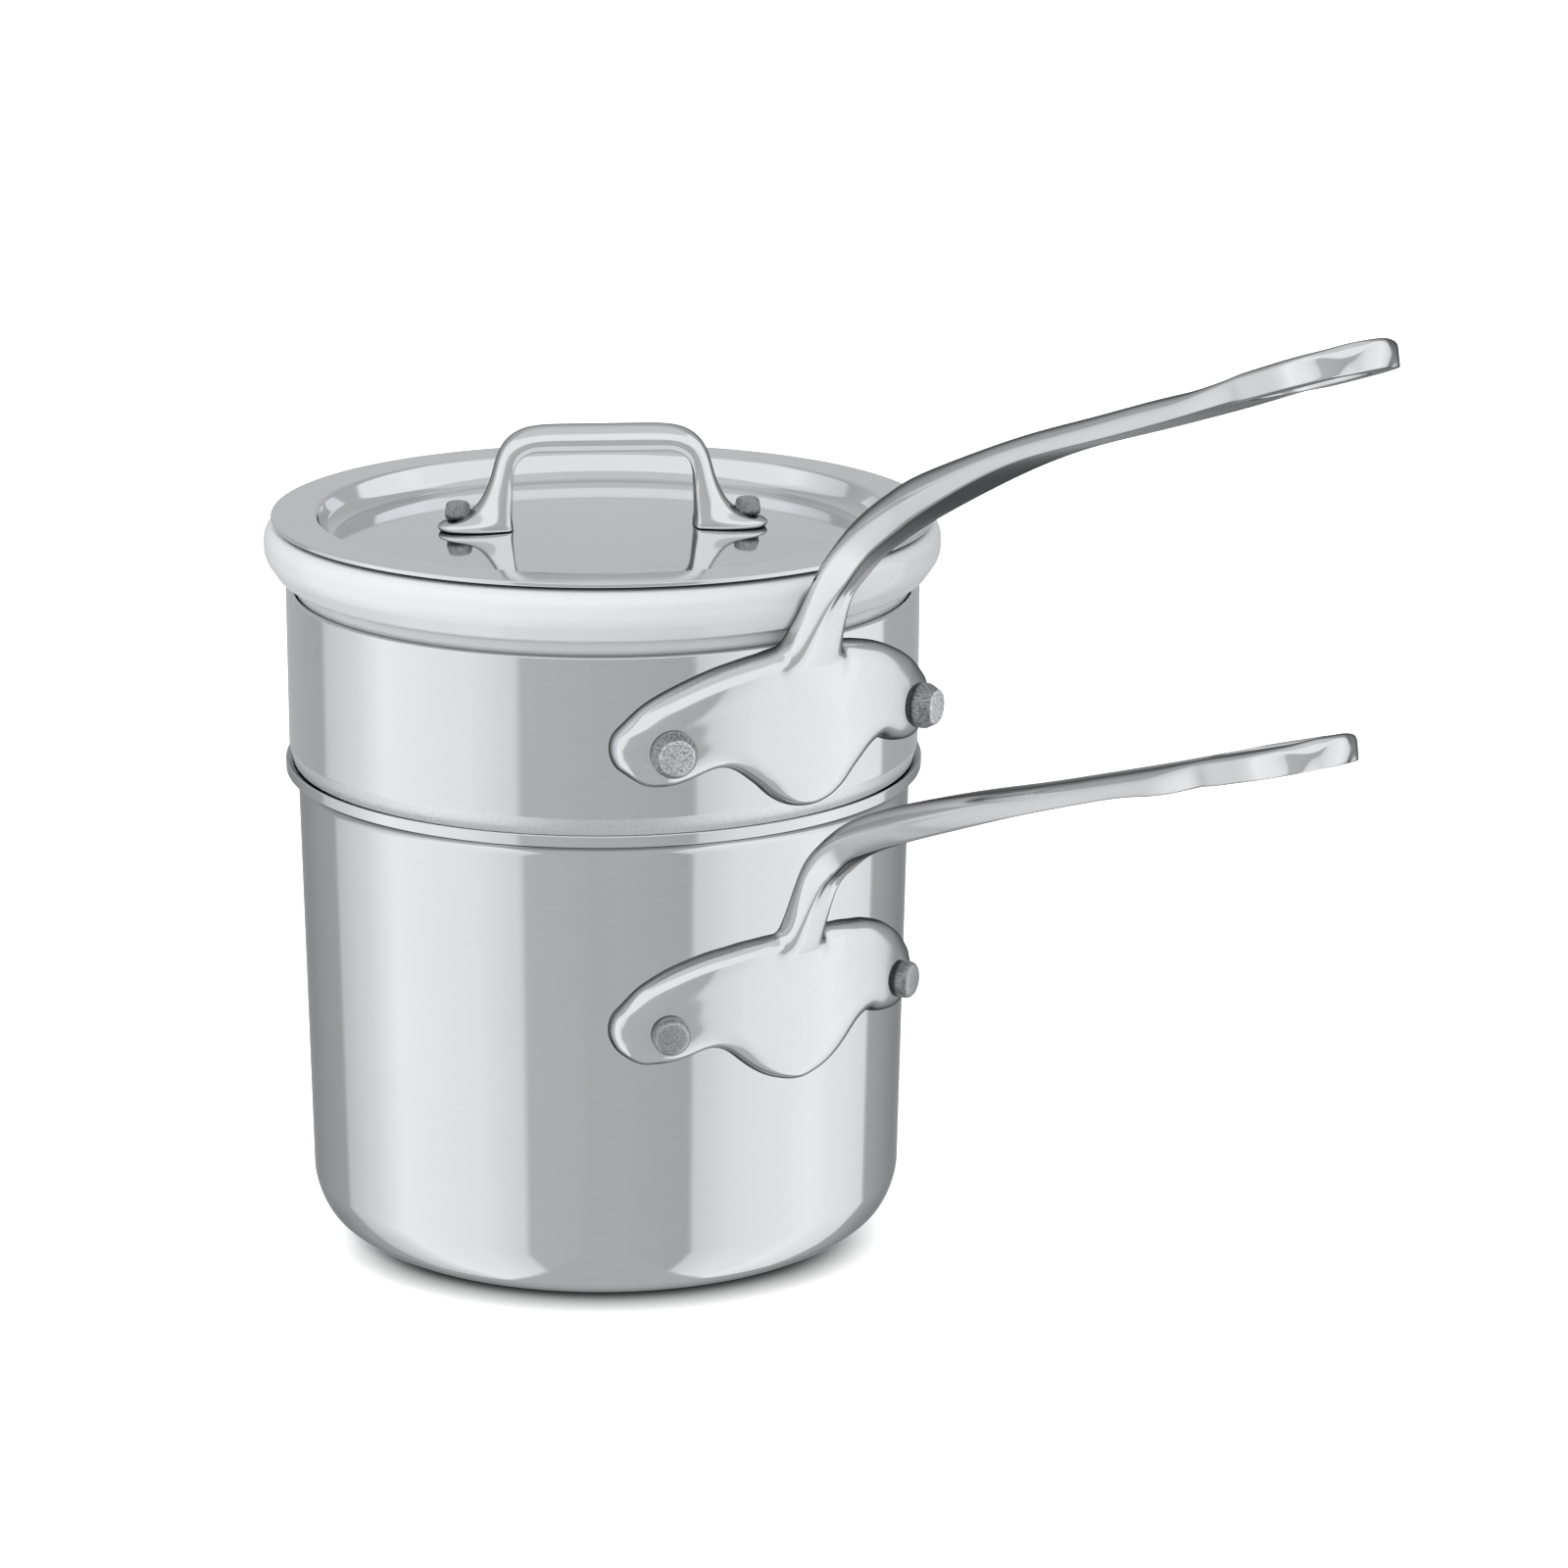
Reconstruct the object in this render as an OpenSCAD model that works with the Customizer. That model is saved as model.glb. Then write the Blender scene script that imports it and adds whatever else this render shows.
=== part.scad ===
// Double boiler: a lower pan for water, an open upper pan that stands in its mouth,
// a porcelain insert that hangs in the upper pan, and a lid.
// Millimetres, Z up. The origin is the centre of the base, and both long handles point along +X.

/* [Lower pan] */
// Outer radius of the wall just above the foot corner
pan_low_r = 56.95; // [56.5:0.05:57.2]
// Outer radius of the wall where the lip starts to flare
pan_top_r = 58.4; // [58.3:0.05:58.6]
// Height where the lip starts to flare
flare_z = 86.6; // [84:0.1:87]
// Outer radius of the flared lip
lip_r = 60.7; // [60.5:0.1:61.5]
// Thickness of the wall
pan_wall = 2; // [1.6:0.1:2.1]
// Thickness of the base
pan_base = 3; // [2:0.5:6]

/* [Upper pan] */
// Outer radius of the upper pan
collar_r = 60; // [59.8:0.1:60.2]
// Height of the crease above the lower pan's lip
collar_low_z = 94.5; // [94.3:0.1:95]
// Height of the upper pan's rim
collar_top_z = 124.1; // [123.8:0.1:124.2]
// Thickness of the upper pan's wall
collar_wall = 1.5; // [1.2:0.1:1.6]
// Outer radius of the spigot that drops into the lower pan
spigot_r = 56.15; // [56:0.05:56.2]
// Height of the spigot's lower edge
spigot_z = 80; // [76:1:82]

/* [Porcelain insert] */
// Largest radius of the rim
rim_r = 63.9; // [63.5:0.1:64]
// Height of the top of the rim
rim_top_z = 137.1; // [136.5:0.1:137.1]
// Height of the insert's underside
insert_z = 38; // [20:1:60]
// Thickness of the porcelain wall
china = 3.4; // [2.8:0.1:4]

/* [Lid] */
// Outer radius of the flange
lid_r = 62.5; // [61:0.1:63]
// Height of the flange's upper face
lid_z = 138.3; // [138.3:0.1:139]
// Height of the middle of the domed disc
disc_z = 135.4; // [135:0.1:135.8]
// Thickness of the lid's sheet
sheet = 0.9; // [0.7:0.1:1]
// Turn of the lid's handle from the long handles
lid_turn = 57.4; // [0:0.1:180]
// Width of the lid handle's bow
bow_w = 7; // [6:0.5:8]

/* [Rivets] */
// Turn of each pan rivet from the long handles
rivet_turn = 25.5; // [24:0.5:27]
// Height of the upper pan's rivets
upper_rivet_z = 107.9; // [107:0.1:109]
// Height of the lower pan's rivets
lower_rivet_z = 54.4; // [50:0.1:58]
// Radius of the upper pan's rivet heads
upper_head_r = 4.2; // [3.8:0.1:4.4]
// Radius of the lower pan's rivet heads
lower_head_r = 3.5; // [3:0.1:4]
// Distance of each lid rivet from the lid's axis
lid_rivet_u = 27.4; // [27:0.1:28]
// Radius of the lid's rivet heads
lid_head_r = 2.5; // [2:0.1:2.6]

/* [Hanging holes] */
// Width of the slot at the end of each long handle
slot_w = 9.5; // [8:0.1:10]
// Length of the slot from end to end
slot_l = 22; // [20:0.5:23]

/* [Hidden] */
$fn = 96;

steel = [0.78, 0.79, 0.80];
polished = [0.84, 0.85, 0.86];
turned = [0.55, 0.56, 0.57];
porcelain = [0.95, 0.96, 0.96];

// Clearance of a plate on its wall, and of a rivet in its bore
seat_gap = 0.05;

// Foot corner of the lower pan: an upright quarter oval
foot_oval = [7, 10.5];
foot_r = pan_low_r - foot_oval[0];

// Lip of the lower pan: a curl about a point outside the wall, then a straight slope
lip_curl = 2.6;
lip_angle = 115;
lip_slope = lip_angle - 90;
lip_centre = [pan_top_r + lip_curl, flare_z];

// Rivet shanks, and the low heads that close them inside the pans
pan_shank_r = 2;
inner_head_r = 3.4;
inner_head_t = 1.1;
lid_shank_r = 1.3;

// How far the lower pan's wall leans out for each millimetre of height, and its radius at a height
pan_lean = (pan_top_r - pan_low_r) / (flare_z - foot_oval[1]);
function pan_r_at(z) = pan_low_r + pan_lean * (z - foot_oval[1]);

// The disc's dome
dome_r = 535;
function disc_at(r) = disc_z - r * r / (2 * dome_r);

// Long handle of the upper pan: distance from the axis, height, width, thickness
upper_route = [
    [62.4, 112, 8.5, 3],
    [62.6, 118, 9.8, 3.4],
    [63.8, 124.4, 10.4, 4.4],
    [65.9, 128.6, 9.4, 4.1],
    [68.8, 133.8, 8.4, 4.9],
    [72.4, 138.8, 7.9, 5.4],
    [77.6, 143.8, 8.6, 5.5],
    [83.5, 148.6, 9.5, 5.5],
    [97.2, 157.2, 12, 5],
    [112.2, 164.5, 14, 4.4],
    [127.3, 170.4, 15.1, 3.8],
    [142, 175.6, 16.1, 3.6],
    [157.1, 180.9, 17.3, 3.6],
    [171.5, 186.2, 19, 3.8],
    [183, 190.3, 20.4, 4.1]
];
upper_end = [191, 193.1];
upper_end_r = 10.2;
upper_end_t = 3.8;

// Long handle of the lower pan, in the same terms
lower_route = [
    [60.1, 58, 5.6, 3],
    [60.3, 64, 6.4, 3.6],
    [61, 69.5, 6.8, 5.2],
    [62.3, 73.7, 7, 5.4],
    [65.3, 80, 8.2, 5],
    [69.1, 85, 8.7, 5],
    [74.2, 89.3, 8.6, 5],
    [79.7, 92.6, 8.6, 5],
    [94.8, 98.9, 10.8, 5],
    [110, 104.4, 12.6, 3.9],
    [125, 109.6, 13.8, 3.2],
    [140, 114.5, 14.9, 3],
    [153.8, 118.9, 16.4, 3.3],
    [167.7, 123.5, 18.2, 4.3],
    [180, 127.6, 18.9, 4.6]
];
lower_end = [186.5, 129.8];
lower_end_r = 9.5;
lower_end_t = 4;

// Slope of both handles at the hanging hole
end_slope = 18.7;

// Upper bracket: distance round the wall, top and bottom height from the rivets, thickness
upper_plate = [
    [0, 16.3, -13.9, 5],
    [3, 16.2, -13.4, 5],
    [6, 15.9, -12.1, 5],
    [9, 15.5, -9.8, 5],
    [12, 15, -7.3, 5],
    [15, 14.4, -5.3, 5],
    [18, 13.7, -4.5, 5],
    [21, 12.7, -5.2, 5],
    [25.7, 10.9, -6.9, 5.1],
    [30, 8.8, -7.2, 5.2],
    [33, 6.8, -6.4, 5.1],
    [35.6, 4.4, -4.7, 4.6],
    [37.3, 2.2, -2.8, 3.4],
    [38, 0.6, -1.2, 2]
];

// Lower bracket, in the same terms
lower_plate = [
    [0, 15.2, -13.4, 4.2],
    [3, 15.1, -12.8, 4.2],
    [6, 15, -11.8, 4.2],
    [9, 14.8, -10.2, 4.2],
    [12, 14.5, -7.8, 4.2],
    [15, 14, -5.5, 4.2],
    [18.5, 13.4, -4.6, 4.2],
    [22, 12.4, -5.6, 4.3],
    [27, 10.5, -6.8, 4.4],
    [31, 8.1, -6.7, 4.4],
    [33.5, 6.1, -5.9, 4.3],
    [35.5, 3.6, -4.2, 3.8],
    [36.6, 1.6, -2.2, 2.8],
    [37, 0.4, -1, 1.6]
];
plate_round = 3;

// Lid handle, from one foot to the crown of the bow: the inner point and the outer point
// of each section, as distance from the axis and height above the disc, then the width
foot_z = 134.7;
half_bow = [
    [17.3, -1.6, 31, -1.6, 10.8],
    [17.3, 0.5, 31.2, 0.5, 10.8],
    [17.3, 1.5, 30, 1.6, 10.6],
    [17.3, 2.3, 27.2, 2.5, 10.2],
    [17.3, 3.7, 24.3, 4.1, 9.4],
    [17.2, 6, 22.5, 6.6, bow_w + 1.6],
    [17.1, 9, 21.2, 9.9, bow_w + 0.7],
    [16.7, 11.6, 20.3, 13.1, bow_w + 0.2],
    [15.6, 13.6, 18.7, 16.6, bow_w],
    [13.4, 14.8, 15.6, 19, bow_w],
    [10.4, 15, 11.3, 19.9, bow_w],
    [5, 15, 5.3, 20, bow_w],
    [0, 15, 0, 20, bow_w]
];

// Points on an arc about c, and on an upright oval about c
function arc(c, r, a0, a1, n = 8) =
    [for (i = [0:n]) let (a = a0 + (a1 - a0) * i / n) c + r * [cos(a), sin(a)]];
function oval(c, size, a0, a1, n = 8) =
    [for (i = [0:n]) let (a = a0 + (a1 - a0) * i / n) c + [size[0] * cos(a), size[1] * sin(a)]];

// An S-shaped step from p to q
function ogee(p, q, n = 8) =
    [for (i = [0:n]) let (t = i / n) [p[0] + (q[0] - p[0]) * (1 - cos(180 * t)) / 2, p[1] + (q[1] - p[1]) * t]];

// A smooth run of values through the rows of a list, n steps from row to row
function pick(rows, i) = rows[max(0, min(len(rows) - 1, i))];
function blend(a, b, c, d, t) =
    b + t * ((c - a) / 2 + t * ((2 * a - 5 * b + 4 * c - d) / 2 + t * (3 * b - 3 * c + d - a) / 2));
function smooth(rows, n) = concat(
    [for (i = [0:len(rows) - 2]) for (j = [0:n - 1])
        blend(pick(rows, i - 1), rows[i], rows[i + 1], pick(rows, i + 2), j / n)],
    [rows[len(rows) - 1]]
);

// The same list, last row first
function reversed(rows) = [for (i = [len(rows) - 1:-1:0]) rows[i]];

// A D-shaped section in the XZ plane, flat at a and crowned at b, w wide along Y
function d_ring(a, b, w) = let (edge = 0.6, n = 10) concat(
    [for (i = [0:n]) let (v = 180 * i / n, k = 0.4 + 0.6 * sin(v)) d_point(a, b, w / 2 * cos(v), k)],
    [d_point(a, b, -w / 2, 0.2), d_point(a, b, edge - w / 2, 0),
     d_point(a, b, w / 2 - edge, 0), d_point(a, b, w / 2, 0.2)]
);
function d_point(a, b, y, k) = [a[0] + (b[0] - a[0]) * k, y, a[1] + (b[1] - a[1]) * k];

// A closed solid through rings of the same number of points
module skin(rings) {
    n = len(rings[0]);
    last = (len(rings) - 1) * n;
    sides = [for (i = [0:n:last - n]) for (j = [0:n - 1]) let (k = (j + 1) % n)
        each [[i + j, i + n + k, i + k], [i + j, i + n + j, i + n + k]]];
    caps = [[for (j = [0:n - 1]) j], [for (j = [n - 1:-1:0]) last + j]];
    polyhedron([for (ring = rings) each ring], concat(sides, caps), convexity = 8);
}

// A cylinder that points away from the pans' axis
module radial(turn, z, r, from, to) {
    rotate([0, 0, turn]) translate([from, 0, z]) rotate([0, 90, 0]) cylinder(r = r, h = to - from);
}

// Stem of a long handle: the route, then a round end
module stem(route, end, end_r, end_t) {
    run = smooth(route, 3);
    rise = [cos(end_slope), sin(end_slope)];
    tip = [for (a = [0:15:75]) let (p = end + rise * end_r * sin(a)) [p[0], p[1], 2 * end_r * cos(a), end_t]];
    line = concat(run, tip, [[end[0] + rise[0] * end_r, end[1] + rise[1] * end_r, 1.4, end_t - 0.6]]);
    skin([for (i = [0:len(line) - 1]) let (
        p = line[i],
        from = pick(line, i - 1),
        to = pick(line, i + 1),
        along = [to[0] - from[0], to[1] - from[1]],
        up = [-along[1], along[0]] / norm(along) * p[3] / 2,
        mid = [p[0], p[1]]
    ) d_ring(mid - up, mid + up, p[2])]);
}

// Section of a bracket: its back lies on the wall, which leans out by lean, and its front
// edges are rounded
function plate_ring(row, rivet_z, wall_r, lean) = let (
    turn = row[0] / (wall_r + 2) * 180 / PI,
    high = row[1],
    low = row[2],
    round_z = min(plate_round, (high - low) * 0.45),
    round_r = min(plate_round, row[3] * 0.7),
    face = row[3] - round_r,
    line = concat(
        [[seat_gap + lean * high, high]],
        oval([face, high - round_z], [round_r, round_z], 90, 0, 4),
        oval([face, low + round_z], [round_r, round_z], 0, -90, 4),
        [[seat_gap + lean * low, low]])
) [for (p = line) [(wall_r + p[0]) * cos(turn), (wall_r + p[0]) * sin(turn), rivet_z + p[1]]];

module plate(rows, rivet_z, wall_r, lean) {
    half = smooth(rows, 2);
    other = [for (i = [len(half) - 1:-1:1]) let (p = half[i]) [-p[0], p[1], p[2], p[3]]];
    skin([for (row = concat(other, half)) plate_ring(row, rivet_z, wall_r, lean)]);
}

// Slot along a handle, cut square to its face
module slot(end, end_r) {
    step = slot_l - slot_w;
    translate([end[0], 0, end[1]]) rotate([0, -end_slope, 0]) translate([end_r - 9.5, 0, -15]) {
        cylinder(d = slot_w, h = 30);
        translate([-step, 0, 0]) cylinder(d = slot_w, h = 30);
        translate([-step, -slot_w / 2, 0]) cube([step, slot_w, 30]);
    }
}

// Rivet bores through a bracket, each with a flat seat for its head
module rivet_holes(z, seat, head_r) {
    for (side = [-1, 1]) {
        radial(side * rivet_turn, z, pan_shank_r + seat_gap, 40, 80);
        radial(side * rivet_turn, z, head_r + 0.3, seat, 80);
    }
}

module lower_pan() {
    color(steel) difference() {
        rotate_extrude() polygon(concat(
            [[0, 0]],
            oval([foot_r, foot_oval[1]], foot_oval, -90, 0),
            arc(lip_centre, lip_curl, 180, lip_angle),
            [[lip_r, lip_z(lip_curl)], [lip_r, lip_z(lip_curl + pan_wall)]],
            arc(lip_centre, lip_curl + pan_wall, lip_angle, 180),
            oval([foot_r, foot_oval[1]], foot_oval - [pan_wall, pan_base], 0, -90),
            [[0, pan_base]]));
        for (side = [-1, 1]) radial(side * rivet_turn, lower_rivet_z, pan_shank_r + seat_gap, 40, 70);
    }
}

// Height at the lip's edge of a face that curls about the lip's centre at radius r
function lip_z(r) = lip_centre[1] + r * sin(lip_angle)
    + (lip_r - lip_centre[0] - r * cos(lip_angle)) * tan(lip_slope);

module lower_handle() {
    color(polished) union() {
        difference() {
            plate(lower_plate, lower_rivet_z, pan_r_at(lower_rivet_z), pan_lean);
            rivet_holes(lower_rivet_z, lower_seat, lower_head_r);
        }
        difference() {
            stem(lower_route, lower_end, lower_end_r, lower_end_t);
            slot(lower_end, lower_end_r);
        }
    }
}

// Distance from the axis to the flat seat under each rivet's head
lower_seat = pan_r_at(lower_rivet_z) + 3.7;
upper_seat = collar_r + 4.5;

// Rivet: an outer head with a rounded edge, the shank, and a low head inside the pan
module pan_rivet(turn, z, seat, head_r, head_t, inside) {
    edge = head_r * 0.25;
    color(turned) rotate([0, 0, turn]) translate([0, 0, z]) rotate([0, 90, 0]) rotate_extrude() polygon(concat(
        [[0, inside - inner_head_t]],
        arc([inner_head_r - 0.6, inside - inner_head_t + 0.6], 0.6, -90, 0, 4),
        [[inner_head_r, inside], [pan_shank_r, inside], [pan_shank_r, seat + seat_gap], [head_r, seat + seat_gap]],
        arc([head_r - edge, seat + head_t - edge], edge, 0, 90, 4),
        [[0, seat + head_t]]));
}

module lower_rivet(turn) {
    inner = pan_r_at(lower_rivet_z) - pan_wall;
    pan_rivet(turn, lower_rivet_z, lower_seat, lower_head_r, 3.5, inner - 0.25);
}

module lower_rivet_left() { lower_rivet(-rivet_turn); }
module lower_rivet_right() { lower_rivet(rivet_turn); }

module upper_collar() {
    inner_r = collar_r - collar_wall;
    color(steel) difference() {
        rotate_extrude() polygon(concat(
            [[collar_r, collar_top_z]],
            arc([collar_r - 0.6, collar_low_z + 0.6], 0.6, 0, -70, 4),
            reversed(ogee([spigot_r, flare_z - 0.1], [collar_r - 1.3, collar_low_z - 0.3])),
            [[spigot_r, spigot_z], [spigot_r - collar_wall, spigot_z]],
            ogee([spigot_r - collar_wall, collar_low_z - 5.5], [inner_r, collar_low_z + 2.5]),
            [[inner_r, collar_top_z]]));
        for (side = [-1, 1]) radial(side * rivet_turn, upper_rivet_z, pan_shank_r + seat_gap, 40, 70);
    }
}

module upper_handle() {
    color(polished) union() {
        difference() {
            plate(upper_plate, upper_rivet_z, collar_r, 0);
            rivet_holes(upper_rivet_z, upper_seat, upper_head_r);
        }
        difference() {
            stem(upper_route, upper_end, upper_end_r, upper_end_t);
            slot(upper_end, upper_end_r);
        }
    }
}

module upper_rivet(turn) {
    pan_rivet(turn, upper_rivet_z, upper_seat, upper_head_r, 4.7, collar_r - collar_wall - 0.15);
}

module upper_rivet_left() { upper_rivet(-rivet_turn); }
module upper_rivet_right() { upper_rivet(rivet_turn); }

module porcelain_insert() {
    body_r = spigot_r - collar_wall - 0.35;
    throat_r = collar_r - collar_wall - 2.3;
    corner = 17;
    low_r = 51.5;
    color(porcelain) rotate_extrude() polygon(concat(
        [[0, insert_z]],
        arc([low_r - corner, insert_z + corner], corner, -90, 0, 10),
        [[body_r - 0.6, 88]],
        ogee([body_r - 0.2, 89.6], [throat_r, 97.5], 6),
        [[throat_r, 119.5]],
        ogee([throat_r, 119.5], [58.2, 123.5], 4),
        [[58.2, 126], [59, 126.9]],
        arc([61.4, 129], 1.6, -75, -10, 4),
        [[rim_r - 0.3, 130.6], [rim_r, 132.3]],
        arc([rim_r - 3.5, rim_top_z - 3.5], 3.5, 0, 90),
        arc([57.5, rim_top_z - 1.5], 1.5, 90, 180, 4),
        [[56, 128.5]],
        ogee([56, 128], [throat_r - china + 0.1, 119], 5),
        ogee([throat_r - china + 0.1, 98.5], [body_r - china - 0.2, 89], 6),
        [[body_r - china - 0.4, 87]],
        arc([low_r - corner, insert_z + corner], corner - china, 0, -90, 10),
        [[0, insert_z + china]]));
}

// Upper face of the lid, from the rim to the middle of the disc
lid_top = concat(
    [[lid_r, lid_z]],
    arc([54.7, lid_z - 1.2], 1.2, 90, 150, 4),
    arc([50.1, disc_at(50.1) + 1.5], 1.5, -30, -87, 4),
    [for (r = [48:-6:6]) [r, disc_at(r)]],
    [[0, disc_z]]);

// A face one sheet below another
function below(line) = [for (i = [0:len(line) - 1]) let (
    along = pick(line, i + 1) - pick(line, i - 1),
    p = line[i] + [-along[1], along[0]] / norm(along) * sheet
) [max(0, p[0]), p[1]]];

module lid() {
    color(steel) difference() {
        rotate_extrude() polygon(concat(lid_top, [[0, disc_z - sheet]], reversed(below(lid_top))));
        rotate([0, 0, lid_turn]) for (side = [-1, 1])
            translate([side * lid_rivet_u, 0, 120]) cylinder(r = lid_shank_r + seat_gap, h = 30);
    }
}

module lid_handle() {
    half = smooth(half_bow, 2);
    bow = concat(half, [for (i = [len(half) - 2:-1:0]) let (p = half[i]) [-p[0], p[1], -p[2], p[3], p[4]]]);
    color(polished) rotate([0, 0, lid_turn]) difference() {
        skin([for (p = bow) d_ring([p[0], foot_z + p[1]], [p[2], foot_z + p[3]], p[4])]);
        rotate_extrude() polygon(concat(
            [[0, 120], [40, 120]],
            [for (r = [40:-5:5]) [r, disc_at(r) + seat_gap]],
            [[0, disc_z + seat_gap]]));
        for (side = [-1, 1]) translate([side * lid_rivet_u, 0, 0]) {
            translate([0, 0, 120]) cylinder(r = lid_shank_r + seat_gap, h = 30);
            translate([0, 0, lid_seat]) cylinder(r = lid_head_r + 0.25, h = 8);
        }
    }
}

// Height of the flat seat under each lid rivet's head
lid_seat = foot_z + 2.4;

module lid_rivet(side) {
    under = disc_at(lid_rivet_u) - sheet - 0.15;
    head_t = 3;
    color(turned) rotate([0, 0, lid_turn]) translate([side * lid_rivet_u, 0, 0]) rotate_extrude() polygon(concat(
        [[0, under - 0.9], [lid_head_r - 0.4, under - 0.9], [lid_head_r, under - 0.5], [lid_head_r, under],
         [lid_shank_r, under], [lid_shank_r, lid_seat + seat_gap], [lid_head_r, lid_seat + seat_gap]],
        arc([lid_head_r - 0.9, lid_seat + head_t - 0.9], 0.9, 0, 90, 4),
        [[0, lid_seat + head_t]]));
}

module lid_rivet_left() { lid_rivet(-1); }
module lid_rivet_right() { lid_rivet(1); }

lower_pan();
lower_handle();
lower_rivet_left();
lower_rivet_right();
upper_collar();
upper_handle();
upper_rivet_left();
upper_rivet_right();
porcelain_insert();
lid();
lid_handle();
lid_rivet_left();
lid_rivet_right();
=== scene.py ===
import math

import bmesh
import bpy
from mathutils import Matrix, Vector


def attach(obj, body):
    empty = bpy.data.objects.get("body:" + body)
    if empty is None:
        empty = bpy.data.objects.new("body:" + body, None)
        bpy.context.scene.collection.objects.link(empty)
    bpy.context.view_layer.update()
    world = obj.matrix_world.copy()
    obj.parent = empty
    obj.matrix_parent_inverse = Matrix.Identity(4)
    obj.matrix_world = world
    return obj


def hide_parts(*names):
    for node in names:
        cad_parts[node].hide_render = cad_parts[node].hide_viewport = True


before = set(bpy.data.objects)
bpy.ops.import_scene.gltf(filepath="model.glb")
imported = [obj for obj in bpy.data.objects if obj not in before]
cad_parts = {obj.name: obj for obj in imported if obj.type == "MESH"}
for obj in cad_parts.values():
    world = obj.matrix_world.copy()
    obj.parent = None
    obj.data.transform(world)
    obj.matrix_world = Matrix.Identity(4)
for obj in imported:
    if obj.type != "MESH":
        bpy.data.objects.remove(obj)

mm = 0.001
scene = bpy.context.scene


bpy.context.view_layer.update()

view = dict(
    place=(0.6864, -0.5014, 0.3207),
    turn=51.53,     # about the upright, degrees
    pitch=15.54,    # down from level
    roll=0.32,
    lens=105.4,
    sensor=36,
    farthest=20,
)


def makeCamera():
    data = bpy.data.cameras.new("Camera")
    data.lens = view["lens"]
    data.sensor_width = view["sensor"]
    data.clip_end = view["farthest"]
    camera = bpy.data.objects.new("Camera", data)
    camera.matrix_world = (
        Matrix.Translation(view["place"])
        @ Matrix.Rotation(math.radians(view["turn"]), 4, "Z")
        @ Matrix.Rotation(math.radians(90 - view["pitch"]), 4, "X")
        @ Matrix.Rotation(math.radians(view["roll"]), 4, "Z")
    )
    scene.collection.objects.link(camera)
    scene.camera = camera


def newMaterial(name):
    material = bpy.data.materials.new(name)
    material.use_nodes = True
    tree = material.node_tree
    return material, tree, tree.nodes["Principled BSDF"]


# Links a node's output to a socket, or sets the socket to a plain value
def feed(tree, socket, value):
    if isinstance(value, bpy.types.NodeSocket):
        tree.links.new(value, socket)
    else:
        socket.default_value = value


def feedAll(tree, node, values):
    for name, value in values.items():
        feed(tree, node.inputs[name], value)


# Each setting is the name of an input or else of one of the node's own options
def addNode(tree, kind, **settings):
    node = tree.nodes.new("ShaderNode" + kind)
    for name, value in settings.items():
        if name in node.inputs:
            feed(tree, node.inputs[name], value)
        else:
            setattr(node, name, value)
    return node


def calc(tree, operation, *values):
    node = addNode(tree, "Math", operation=operation)
    for socket, value in zip(node.inputs, values):
        feed(tree, socket, value)
    return node.outputs[0]


# Runs from low to high while the value runs from start to end
def rise(tree, value, start=0, end=1, low=0, high=1, curve="LINEAR"):
    node = addNode(tree, "MapRange", interpolation_type=curve)
    for socket, setting in zip(node.inputs, (value, start, end, low, high)):
        feed(tree, socket, setting)
    return node.outputs["Result"]


def blend(tree, factor, a, b):
    node = addNode(tree, "Mix", data_type="FLOAT", Factor=factor)
    for socket, value in zip(node.inputs[2:4], (a, b)):
        feed(tree, socket, value)
    return node.outputs[0]


def blendColour(tree, factor, a, b):
    node = addNode(tree, "Mix", data_type="RGBA", Factor=factor)
    for socket, value in zip(node.inputs[6:8], (a, b)):
        feed(tree, socket, value)
    return node.outputs[2]


def ramp(tree, value, spots, colours):
    node = addNode(tree, "ValToRGB")
    elements = node.color_ramp.elements
    for index, (spot, colour) in enumerate(zip(spots, colours)):
        if index == 0:
            element = elements[0]
        elif index == len(spots) - 1:
            element = elements[-1]
        else:
            element = elements.new(spot)
        element.position = spot
        element.color = (*colour, 1)
    feed(tree, node.inputs[0], value)
    return node.outputs[0]


def noise(tree, where, scale, detail, roughness=0.5):
    node = addNode(
        tree, "TexNoise", Vector=where, Scale=scale, Detail=detail, Roughness=roughness)
    return node.outputs[0]


def bump(tree, height, strength, distance, under=None):
    node = addNode(tree, "Bump", Height=height, Strength=strength, Distance=distance)
    if under:
        feed(tree, node.inputs["Normal"], under)
    return node.outputs[0]


def objectPlace(tree):
    return addNode(tree, "TexCoord").outputs["Object"]


def split(tree, vector):
    return addNode(tree, "SeparateXYZ", Vector=vector).outputs[:]


def join(tree, x, y, z):
    return addNode(tree, "CombineXYZ", X=x, Y=y, Z=z).outputs[0]


def shade(colour, share):
    return [min(1, part * share) for part in colour]


# What every steel shares: a cloudy tone, and the specks of a band: a rougher, lighter band
# round the collar, and painted shade on the castings near the wall and the lid's disc
steelLook = dict(
    cloud=60, tones=(0.95, 1.03), grainHeight=0.00004,
    speck=3000, speckSpots=(0.3, 0.7), speckTones=(0.84, 1.08), speckRough=0.06,
    speckHeight=0.00006,
)

# grain is one scale for a cast surface, or three for a turned one: round the axis, away from it
# and up
sheetSteel = dict(colour=(0.82, 0.83, 0.845), grain=(9, 2600, 2600), depth=0.03)
castSteel = dict(colour=(0.85, 0.855, 0.865), rough=(0.09, 0.14), grain=1400, depth=0.05)
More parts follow.
